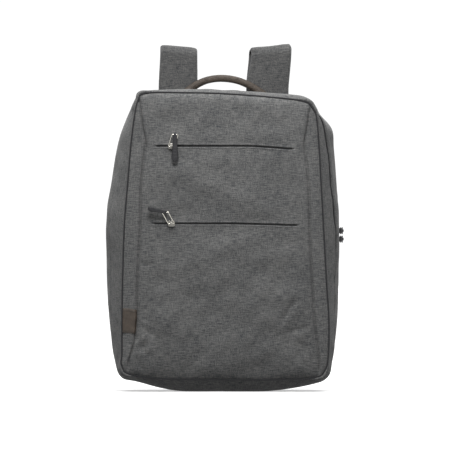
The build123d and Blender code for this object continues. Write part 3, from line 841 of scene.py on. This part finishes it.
def rubber_pull(name, eye, along, out, length, widths, lift=(2.9, 0.35)):
    """A pull from its bail's bar: half widths follow a curve through a few shares of its length
    and close to a rounded tip, and three ribs cross the grip."""
    along, out = unit(along), unit(out)
    close = 0.9 + 0.1 * np.sin(np.linspace(0.1, 1, 14) * np.pi / 2)
    s = np.concatenate([np.linspace(0, 0.9, 46), close])
    tip = np.sqrt(np.clip(1 - ((s - 0.88) / 0.12).clip(0, 1) ** 2, 0.0004, 1))
    start = np.sqrt(np.clip(1 - (1 - (s / 0.05).clip(0, 1)) ** 2, 0.02, 1))
    half = through(widths, s) * tip * start
    ribs = sum(hump(s, place, 0.022) for place in (0.58, 0.68, 0.78))
    thick = (1.15 + 0.75 * ease(s, 0.3, 0.6)) * tip ** 0.7 * start * (1 - 0.22 * ribs)
    line = np.asarray(eye) + along * (s[:, None] * length - 1.2) + \
        out * (lift[0] + lift[1] * ease(s, 0.05, 0.6))[:, None]
    turn = np.arange(28) / 28 * 2 * np.pi
    hoop = np.asarray(eye) + EYE_RADIUS * (along * np.cos(turn)[:, None]
                                           + out * np.sin(turn)[:, None])
    carried(tube(f"{name}_grip", line, oval(half, thick, 20, 0.8), out, rubber),
            "rubber_pull", name, name)
    carried(tube(f"{name}_eye", hoop, oval(EYE_WIRE, 1.5, 10, 0.8), np.cross(along, out), rubber,
                 closed=True), "rubber_pull", name)


def node_box(node):
    """The low and the high corner of a CAD node's box in millimetres."""
    return np.array(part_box(node)) / MM


rubber = solid("soft_rubber", (0.006, 0.006, 0.007), (0.016, 0.016, 0.018), grain=2400,
               depth=0.00012, strength=0.5, patch=180, Roughness=0.58, Specular_IOR_Level=0.35)
DROP = [(0, 2.5), (0.2, 3.1), (0.4, 3.5), (0.6, 4.1), (0.8, 4.55), (1, 4.4)]
SHORT_DROP = [(0, 2.3), (0.3, 2.7), (0.6, 3.1), (0.8, 3.5), (1, 3.3)]
SIDE_DROP = [(0, 1.6), (0.3, 2.2), (0.6, 3.6), (0.8, 4.1), (1, 3.8)]
BAIL_Y, LOWER_LEAN = -72.6, np.radians(12)
rubber_pull("upper_pull", (-68.0, BAIL_Y, node_box("upper_bail")[1, 2] - 0.7), (0, 0, -1),
            TO_FRONT, 40.0, DROP)
rubber_pull("lower_pull", (-81.8, BAIL_Y, node_box("lower_bail")[1, 2] - 0.7),
            (-np.cos(LOWER_LEAN), 0, np.sin(LOWER_LEAN)), TO_FRONT, 26.5, SHORT_DROP)
for name in ("upper", "lower"):
    low, high = node_box(f"main_{name}_bail")
    rubber_pull(f"main_{name}_pull", (170.7, high[1] - 0.7, (low[2] + high[2]) / 2), TO_BACK,
                (1, 0, 0), 28.5, SIDE_DROP, lift=(0.6, -2.0))

# ---- Leather patch -----------------------------------------------------------------------------
# A folded tab of dark brown leather sewn flat over the left side strip, from the seam to the
# fold, with a line of waxed thread along each short edge.


def leather(name, dark, light, edge):
    """Full-grain leather: small pebbled cells with creases between them, uneven dye, and a
    paler worn tone on the high grain."""
    sheet = Sheet(name, Roughness=0.5, Specular_IOR_Level=0.4)
    place = sheet.place()
    cell = sheet.node("ShaderNodeTexVoronoi", {"Vector": sheet.stretched(place, 620),
                                               "Scale": 1.0}, feature="DISTANCE_TO_EDGE")
    pore = sheet.noise(place, 1500, 3.0)
    dye = sheet.noise(place, (55, 90, 70), 4.0, 0.6)
    grain = cell.between(0.02, 0.28)
    body = sheet.mix(dye.between(0.25, 0.75), dark, light)
    worn = (grain * dye.between(0.5, 0.8) * 0.4).clip()
    return sheet.finish(sheet.mix(worn, body, edge), grain + pore * 0.35, 0.0004,
                        roughness=(0.62 - grain * 0.14), strength=0.55)


def stitches(name, path, normal, material, slot, carrier, pitch, length, radius):
    """A row of short stitches lying along a path, each a small capsule on the surface."""
    centres = resampled(path, int(run_along(path)[-1] / pitch))
    up = np.broadcast_to(unit(normal), centres.shape)
    row = beads(centres, np.gradient(centres, axis=0), up, length, radius)
    carried(shell(name, row, material), slot, carrier)


brown_leather = leather("brown_leather", (0.026, 0.019, 0.013), (0.060, 0.045, 0.034),
                        (0.11, 0.086, 0.066))
THREAD = dict(grain=2200, depth=0.0001, strength=0.4, Roughness=0.6)
dark_thread = solid("dark_thread", (0.010, 0.009, 0.008), (0.035, 0.030, 0.026), **THREAD)
grey_thread = solid("grey_thread", (0.030, 0.030, 0.032), (0.075, 0.075, 0.078), **THREAD)
PATCH_LOW, PATCH_HIGH = 83.0, 119.4
rows = np.where((z[:, 8] > PATCH_LOW) & (z[:, 8] < PATCH_HIGH))[0]
strip_part = cover_points[rows[0]:rows[-1] + 1, :len(strip_lines) + 1]
across = np.linspace(0, 1, strip_part.shape[1])[None, :]
down = np.linspace(0, 1, strip_part.shape[0])[:, None]
border = np.minimum(18 * np.minimum(across, 1 - across), 33 * np.minimum(down, 1 - down))
patch_lift = 1.25 * np.sqrt(1 - (1 - np.clip(border / 1.1, 0, 1)) ** 2) - 0.35
patch_points = strip_part - patch_lift[..., None] * TO_BACK
patch = surface("leather_tab", patch_points, brown_leather)
carried(patch, "brown_leather", on_front, "leather_patch")
for name, share in (("low", 0.09), ("high", 0.93)):
    row = patch_points[int(share * (len(patch_points) - 1))]
    stitches(f"leather_tab_stitch_{name}", resampled(row[1:-1], 40) - (0, 0.25, 0), TO_FRONT,
             dark_thread, "brown_leather", on_front, 2.4, 2.0, 0.48)

# ---- Carry handle ------------------------------------------------------------------------------
# A padded roll of the same brown leather, arched between two stitched tabs on the top gusset.
# The cover is folded round a rope core and sewn along the underside.
HANDLE_Y = 57.0
HANDLE_LINE = [(-57, 423.0), (-50, 430.5), (-39, 438.5), (-23, 445.6), (-3, 448.3), (19, 445.6),
               (38, 438.0), (51, 429.6), (61, 421.0)]
u = np.linspace(0, 1, 90)
knot_at = np.linspace(0, 1, len(HANDLE_LINE))
arch_x, arch_z = (through(np.stack([knot_at, values], 1), u)
                  for values in np.transpose(HANDLE_LINE))
arch = np.stack([arch_x, np.full(90, HANDLE_Y), arch_z], 1)
near_foot = 1 - ease(np.minimum(u, 1 - u), 0.0, 0.22)
half_high = 5.2 + 1.4 * near_foot + 0.12 * ripple(u * 100, 0 * u, 18, 6)
half_deep = 5.0 + 1.2 * near_foot + 0.15 * ripple(u * 100, 0 * u, 14, 7)
handle_grip = tube("handle_roll", arch, oval(half_deep, half_high, 28, 0.85), UPWARD,
                   brown_leather)
carried(handle_grip, "brown_leather", "handle", "handle_grip")
for name, side in (("front", -1), ("back", 1)):
    seam = arch + np.stack([0 * u, side * half_deep * 0.72, -half_high * 0.74], 1)
    stitches(f"handle_stitch_{name}", seam[6:-6], (0, side, -1), dark_thread, "brown_leather",
             "handle", 3.6, 2.6, 0.36)


def plate(outline, height, rounding):
    """A flat shape with a rounded rim: its outline drawn in by a quarter circle at the edge."""
    turn = np.linspace(0, np.pi / 2, 5)[1:]
    drawn_in = np.concatenate([[0, 1], 1 - rounding * (1 - np.cos(turn)), [0.6, 0.3, 0]])
    level = np.concatenate([[0, 0], np.sin(turn), [1, 1, 1]]) * height
    centre = outline.mean(0)
    flat = centre + (outline - centre)[None] * drawn_in[:, None, None]
    return np.concatenate([flat, level[:, None, None] + 0 * flat[..., :1]], 2)


def top_height(x):
    """The height of the top gusset under the handle."""
    return np.interp(x, [-120, -57, 0, 57, 120], [425.5, 427.6, 426.6, 423.8, 418])


for name in ("left", "right"):
    low, high = node_box(f"handle_anchor_{name}")
    middle = ((low[0] + high[0]) / 2, HANDLE_Y - 3.0)
    tab_points = plate(oval(13.5, 8.0, 48, 0.35) + middle, 2.0, 0.12)
    tab_points[..., 2] += top_height(tab_points[..., 0])
    tab = shell(f"handle_tab_{name}", tab_points, brown_leather)
    carried(tab, "brown_leather", "pack_body", f"handle_anchor_{name}")
    sewn = oval(10.8, 5.6, 60, 0.35) + middle
    sewn = np.insert(sewn, 2, top_height(sewn[:, 0]) + 2.1, axis=1)
    stitches(f"handle_tab_stitch_{name}", np.concatenate([sewn, sewn[:1]]), UPWARD, dark_thread,
             "brown_leather", "pack_body", 3.0, 2.2, 0.34)

# ---- Shoulder straps ---------------------------------------------------------------------------
# Two padded straps of the canvas with its colours scaled darker, over foam. Each is sewn flat to
# the back panel, folds over at the top and hangs behind the bag, with bound edges and stitches
# beside them.
STRAP_ROOT_Y, STRAP_BACK_Y = 69.0, 87.0
STRAP_ROOT_Z, STRAP_FOLD_Z, STRAP_END_Z = 398.0, 483.2, 128.0
STRAP_HALF_THICK = 3.0
STRAPS = {"left": dict(sign=-1, centre=-65.0, lean=1.6, tilt=-2.3, half=27.0),
          "right": dict(sign=1, centre=63.9, lean=5.9, tilt=2.9, half=29.6)}
fold_radius = (STRAP_BACK_Y - STRAP_ROOT_Y) / 2
fold_turn = np.linspace(0, np.pi, 25)
strap_yz = np.concatenate([
    np.stack([np.full(24, STRAP_ROOT_Y), np.linspace(STRAP_ROOT_Z, STRAP_FOLD_Z, 25)[:-1]], 1),
    np.stack([STRAP_ROOT_Y + fold_radius * (1 - np.cos(fold_turn)),
              STRAP_FOLD_Z + fold_radius * np.sin(fold_turn)], 1),
    np.stack([np.full(90, STRAP_BACK_Y), np.linspace(STRAP_FOLD_Z, STRAP_END_Z, 91)[1:]], 1)])
hanging = (np.arange(len(strap_yz)) >= 37) & (strap_yz[:, 0] > STRAP_ROOT_Y + fold_radius)
strap_run = run_along(strap_yz)
strap_ends = np.minimum(strap_run, strap_run[-1] - strap_run)
binding_strap = grosgrain("strap_binding", (0.050, 0.051, 0.053), (0.130, 0.130, 0.130))
# The grey canvas colours, scaled darker for the straps.
strap_canvas = canvas("strap_canvas", (0.021, 0.023, 0.026), (0.118, 0.116, 0.112))


def strap_centre(side):
    """The middle line of a strap and its half width along it."""
    y, z = strap_yz.T
    away = np.where(hanging, ease(-z, -345, -118), 0)
    x = side["centre"] + side["lean"] * ease(z, 430, 490) * (1 - 0.6 * ease(y, 69, 87))
    x = x + (side["sign"] * 92 - side["centre"]) * away
    half = side["half"] - 1.6 * ease(z, 440, 490) - away * (side["half"] - 21)
    half = half * (0.86 + 0.14 * np.sqrt(1 - (1 - np.clip(strap_ends / 6, 0, 1)) ** 2))
    return np.stack([x, y, z], 1), half


def foam_strap(side):
    """Half thickness * (1 - u ** 8) ** 0.4 across the strap, from edge to edge and back, so that
    it is flat in the middle and thin at its bound edges."""
    line, half = strap_centre(side)
    u = np.concatenate([np.linspace(-1, 1, 25), np.linspace(1, -1, 25)[1:-1]])
    u = np.sign(u) * (1 - (1 - np.abs(u)) ** 1.3)
    face = np.concatenate([np.ones(25), -np.ones(23)])
    thick = face * (0.45 + (STRAP_HALF_THICK - 0.45) * (1 - np.abs(u) ** 8) ** 0.4)
    thick = thick * (1 - 0.16 * hump(np.abs(u), 0.80, 0.035))
    shut = np.sqrt(1 - (1 - np.clip(strap_ends / 4, 0.02, 1)) ** 2)
    profile = np.stack([half[:, None] * u[None], shut[:, None] * thick[None]], 2)
    points = sweep(line, profile, facing(line))
    points[..., 2] += side["tilt"] * ease(points[..., 2], 440, 492) * u[None]
    wave = ripple(strap_run[:, None] + 400 * side["sign"], half[:, None] * u[None], 60, 17)
    wave = 0.35 * wave * shut[:, None] * (1 - u[None] ** 4)
    return points + facing(line)[:, None] * wave[..., None]


def facing(line):
    """The direction that the strap's outer face looks, in the YZ plane, square to the line."""
    ahead = np.gradient(line, axis=0)
    ahead = ahead / np.linalg.norm(ahead[:, 1:], axis=1)[:, None]
    return np.stack([0 * ahead[:, 0], -ahead[:, 2], ahead[:, 1]], 1)


def beside(line, half, tilt, share):
    """The line along a strap at a share of its half width from the middle."""
    moved = line + np.stack([share * half, 0 * half, 0 * half], 1)
    moved[:, 2] += tilt * ease(moved[:, 2], 440, 492) * share
    return moved


for name, side in STRAPS.items():
    line, half = strap_centre(side)
    pieces = [shell(f"strap_{name}_foam", capped(foam_strap(side)), strap_canvas)]
    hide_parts(f"shoulder_strap_{name}", f"strap_root_{name}")
    out = facing(line)
    for edge, which in ((-1, "inner"), (1, "outer")):
        pieces.append(tube(f"strap_{name}_binding_{which}", beside(line, half, side["tilt"], edge),
                           oval(0.95, 1.5, 10), out, binding_strap))
        for face, where in ((1, "face"), (-1, "back")):
            sewn = beside(line, half, side["tilt"], 0.8 * edge)
            sewn = sewn + out * (STRAP_HALF_THICK - 0.35) * face
            at = resampled(sewn, int(strap_run[-1] / 4.2))
            row = beads(at, np.gradient(at, axis=0), resampled(out * face, len(at)), 2.8, 0.36)
            pieces.append(shell(f"strap_{name}_stitch_{which}_{where}", row, grey_thread))
    for piece in pieces:
        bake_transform(piece)

# ---- Webbing and ladder locks ------------------------------------------------------------------
# Charcoal polyester webbing: a short fixed length from each corner tab up to the moulded ladder
# lock, and the loose tail hanging from it. Ends are turned over and sewn.
WEB_HALF, WEB_THICK = 12.5, 0.8


def webbing_cloth(name, dark, light):
    """Ribbed webbing: strong ribs across, fine threads along and a slightly worn top."""
    sheet = Sheet(name, Roughness=0.7, Specular_IOR_Level=0.3)
    place = sheet.place()
    rib = sheet.bands(place, 210, "Y", 0.2)
    yarn = sheet.bands(place, 330, "X", 0.4)
    wear = sheet.noise(place, (120, 60, 1), 3.0)
    share = (rib * 0.45 + yarn * 0.25 + wear * 0.4).clip()
    return sheet.finish(sheet.mix(share, dark, light), rib + yarn * 0.4, 0.0006, strength=0.7)


webbing = webbing_cloth("charcoal_webbing", (0.012, 0.012, 0.013), (0.050, 0.050, 0.052))
acetal = solid("black_acetal", (0.010, 0.010, 0.011), (0.024, 0.024, 0.025), grain=1900,
               depth=0.00008, strength=0.4, patch=(40, 160, 90), Roughness=0.38,
               Specular_IOR_Level=0.45)


def strip_of_webbing(name, path, up):
    """A flat strip with rounded edges carried along a path, doubled at its ends."""
    place = np.arange(60)
    thick = WEB_THICK * (1 + 0.55 * (np.minimum(place, place[::-1]) < 9))
    return tube(name, resampled(path, 60), oval(WEB_HALF + 0 * thick, thick, 20, 0.35), up, webbing)


for name, sign in (("left", -1), ("right", 1)):
    body = f"strap_{name}"
    low, high = node_box(f"webbing_tail_{name}")
    middle_x = (low[0] + high[0]) / 2
    s = np.linspace(0, 1, 40)
    hang = np.stack([middle_x + sign * 1.5 * s**2, high[1] - 0.8 - 0.9 * np.sin(np.pi * s),
                     high[2] - s * (high[2] - low[2])], 1)
    tail = strip_of_webbing(f"webbing_end_{name}", hang, TO_BACK)
    carried(tail, "webbing", body, f"webbing_tail_{name}")
    fixed = [(sign * 96, 86, 95), (sign * 104, 84.2, 82), (sign * 114, 78.5, 64),
             (sign * 124.5, 71.8, 45)]
    lower = strip_of_webbing(f"webbing_fixed_{name}", fixed, (0, 1, 0.25))
    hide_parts(f"lower_webbing_{name}")
    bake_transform(lower)
    rounded_node(f"ladder_lock_{name}", acetal, 0.7, 3)
    hem = [(middle_x + end, high[1] + 0.1, low[2] + 7) for end in (-9, 9)]
    stitches(f"webbing_hem_{name}", resampled(hem, 30), TO_BACK, grey_thread, "webbing", body,
             2.8, 2.0, 0.32)

# ---- Corner tabs -------------------------------------------------------------------------------
# Folded triangles of doubled canvas sewn into the lower corners of the back, each holding the
# end of its webbing under a closed ring of stitches.
SEWN_CORNER = [(112, 35), (119, 53), (135, 45), (140.5, 27.5), (123, 21), (112, 35)]
tab_canvas = canvas("tab_canvas", CANVAS_DARK, CANVAS_LIGHT, source="Object")
for name, sign in (("left", -1), ("right", 1)):
    rounded_node(f"anchor_tab_{name}", tab_canvas, 0.6, 3)
    sewn_y = node_box(f"anchor_tab_{name}")[1, 1] + 0.15
    sewn = np.array([(sign * x, sewn_y, z) for x, z in SEWN_CORNER])
    stitches(f"anchor_stitch_{name}", resampled(sewn, 120), TO_BACK, grey_thread, "grey_canvas",
             "pack_body", 3.2, 2.3, 0.34)

# ---- Back panel and pads -----------------------------------------------------------------------
# A flat panel of charcoal air mesh over thin foam, with three thicker pads of the same mesh on
# it: two tall ones beside the spine and one across the small of the back.
PADS = {"left": dict(centre=(-68, 248), half=(45.5, 138.5), channels=(178, 248, 318)),
        "right": dict(centre=(68, 248), half=(45.5, 138.5), channels=(178, 248, 318)),
        "lower": dict(centre=(0, 68), half=(103.5, 26.5), channels=())}
PAD_BACK_Y, PAD_FRONT_Y = 65.3, 75.2
BLOWING_FRAMES = 20


def air_mesh(name, dark, light, hole):
    """Spacer mesh: a close net of small holes between raised yarns, the holes near-black as painted
    shade.
    """
    sheet = Sheet(name, Roughness=0.85, Specular_IOR_Level=0.2)
    place = sheet.place("Object")
    cell = sheet.node("ShaderNodeTexVoronoi", {"Vector": sheet.stretched(place, 270),
                                               "Scale": 1.0, "Randomness": 0.35})
    open_part = 1 - cell.between(0.18, 0.42)
    yarn = sheet.noise(place, 900, 3.0)
    cloud = sheet.noise(place, 25)
    net = sheet.mix((yarn * 0.7 + cloud * 0.3).clip(), dark, light)
    # Painted shade: the open cells take the near-black hole colour, the shade inside the holes.
    return sheet.finish(sheet.mix(open_part, net, hole), (1 - open_part) + yarn * 0.3, 0.0007,
                        strength=0.8)


# The last colour, near black, is painted shade inside the mesh holes.
mesh_cloth = air_mesh("air_mesh", (0.022, 0.022, 0.024), (0.070, 0.070, 0.073),
                      (0.004, 0.004, 0.004))
shares = np.linspace(0, 1, 40)[:, None, None]
panel_xz = BAG_CENTRE + (rear_ring[::4] - BAG_CENTRE)[None] * shares
panel_y = REAR_Y + 0.9 + 2.2 * (1 - shares[..., 0] ** 6) * np.ones(panel_xz.shape[:2])
panel_y = panel_y + 0.25 * ripple(*panel_xz.T, 60, 41).T * (1 - shares[..., 0] ** 4)
back_panel = surface("back_mesh_panel", np.stack([panel_xz[..., 0], panel_y, panel_xz[..., 1]], 2),
                     mesh_cloth, wrap=True)
join_points(back_panel.data, face_out=False)
thicken(back_panel, 0.9, lining, offset=1.0)
carried(back_panel, "back_mesh", "pack_body", "back_panel")


def cushion(outline, back, front, power=0.42, rows=26):
    """A crowned closed pad: its outline shrinks as sin ** power from the rim to both middles,
    while it goes from the flat back to the crowned front."""
    turn = np.linspace(0, np.pi, rows)
    inward = np.sin(turn) ** power
    centre = outline.mean(0)
    xz = centre + (outline - centre)[None] * inward[:, None, None]
    depth = (1 - np.cos(turn)) / 2
    y = back + (front - back) * np.broadcast_to(depth[:, None], xz.shape[:2])
    return np.stack([xz[..., 0], y, xz[..., 1]], 2)


def points_of(mesh):
    """The places of a mesh's points in metres."""
    flat = np.zeros(len(mesh.vertices) * 3, np.float32)
    mesh.vertices.foreach_get("co", flat)
    return flat.reshape(-1, 3)


def shown(piece):
    """A piece's mesh with its modifiers applied."""
    graph = bpy.context.evaluated_depsgraph_get()
    return bpy.data.meshes.new_from_object(piece.evaluated_get(graph))


def inflate(piece, voxel, pressure, cap):
    """Turns a closed shape into even cloth, blows it up from inside with no gravity, and lets no
    point move further than cap."""
    even = piece.modifiers.new("even", "REMESH")
    even.mode, even.voxel_size, even.use_smooth_shade = "VOXEL", voxel * MM, True
    made = shown(piece)
    piece.modifiers.clear()
    piece.data = made
    rest = points_of(made)
    air = piece.modifiers.new("air", "CLOTH")
    air.settings.use_pressure = True
    air.settings.uniform_pressure_force = pressure
    air.settings.effector_weights.gravity = 0
    air.settings.quality = 5
    for step in range(1, BLOWING_FRAMES + 1):
        bpy.context.scene.frame_set(step)
    move = points_of(shown(piece)) - rest
    piece.modifiers.clear()
    bpy.context.scene.frame_set(1)
    far = np.linalg.norm(move, axis=1)[:, None] + 1e-9
    made.vertices.foreach_set("co", (rest + move * np.minimum(1, cap * MM / far)).ravel())
    made.update()


def pressed(piece, back, front, channels, centre, half):
    """Sets a blown pad down on its panel: no point behind its back face or beyond its front one,
    with the sewn channels and the seam round the rim drawn in."""
    at = points_of(piece.data).astype(float) / MM
    depth = np.clip(at[:, 1] - back, 0, front - back)
    to_side = half[0] - np.abs(at[:, 0] - centre[0])
    to_end = half[1] - np.abs(at[:, 2] - centre[1])
    sewn = sum(hump(at[:, 2], place, 2.6) for place in channels) * ease(to_side, 1, 12)
    sewn = sewn + 0.55 * hump(np.minimum(to_side, to_end), 6.0, 1.5)
    at[:, 1] = back + depth * (1 - 0.55 * np.clip(sewn, 0, 1))
    piece.data.vertices.foreach_set("co", (at * MM).astype(np.float32).ravel())
    piece.data.polygons.foreach_set("use_smooth", np.full(len(piece.data.polygons), True))
    piece.data.update()


for name, pad in PADS.items():
    outline = oval(pad["half"][0] - 2.0, pad["half"][1] - 2.0, 160, 0.30) + pad["centre"]
    crown = cushion(outline, PAD_BACK_Y, PAD_FRONT_Y - 1.4)
    pad_piece = shell(f"pad_{name}", crown, mesh_cloth)
    inflate(pad_piece, 3.0, 4.0, 2.6)
    pressed(pad_piece, PAD_BACK_Y, PAD_FRONT_Y + 0.5, **pad)
    carried(pad_piece, "back_mesh", "pack_body", f"back_pad_{name}")

# ---- Inside ------------------------------------------------------------------------------------
# A nylon liner behind the front pockets, a padded laptop sleeve with a bound top edge against
# the back, and a stiff grey board laid in the base.
object_lining = woven_lining("liner_nylon", LINING_DARK, LINING_LIGHT, source="Object")
rounded_node("pocket_liner", object_lining, 0.5)


def fibreboard(name, dark, light):
    """Pressed grey board: short fibres lying every way, with a dull worn face."""
    sheet = Sheet(name, Roughness=0.8, Specular_IOR_Level=0.25)
    place = sheet.place("Object")
    fibre = sheet.noise(place, (900, 300, 600), 4.0, 0.7)
    mottle = sheet.noise(place, 70, 3.0)
    return sheet.finish(sheet.mix((fibre * 0.6 + mottle * 0.4).clip(), dark, light), fibre, 0.0002)


grey_board = fibreboard("grey_board", (0.05, 0.05, 0.048), (0.13, 0.13, 0.125))
rounded_node("base_board", grey_board, 0.8)
SLEEVE_BACK_Y, SLEEVE_FRONT_Y = 40.0, 33.2
SLEEVE_FOOT = [(0, 5.6), (66, 6.5), (100, 13), (121, 19), (135, 26), (146, 36)]
low, high = node_box("laptop_sleeve")
sleeve_outline = oval(*((high - low) / 2)[::2], 200, 0.12) + ((low + high) / 2)[::2]
sleeve_foot = np.interp(np.abs(sleeve_outline[:, 0]), *np.transpose(SLEEVE_FOOT))
sleeve_outline[:, 1] = np.maximum(sleeve_outline[:, 1], sleeve_foot)
sleeve_points = cushion(sleeve_outline, SLEEVE_BACK_Y, SLEEVE_FRONT_Y, power=0.12, rows=30)
quilt = sum(hump(np.abs(sleeve_points[..., 0] - place), 0, 2.5) for place in (-73, 0, 73))
front_side = sleeve_points[..., 1] < 36
sleeve_points[..., 1] += front_side * 1.6 * np.clip(quilt, 0, 1)
sleeve = shell("laptop_sleeve_pad", sleeve_points, lining)
carried(sleeve, "lining", "pack_body", "laptop_sleeve")
sleeve_top = np.linspace((low[0] + 6, 36.6, high[2] - 0.5), (high[0] - 6, 36.6, high[2] - 0.5), 80)
sleeve_rim = tube("laptop_sleeve_binding", sleeve_top, oval(4.2, 3.2, 14, 0.6), UPWARD, binding)
carried(sleeve_rim, "piping", "pack_body")

bpy.context.view_layer.update()
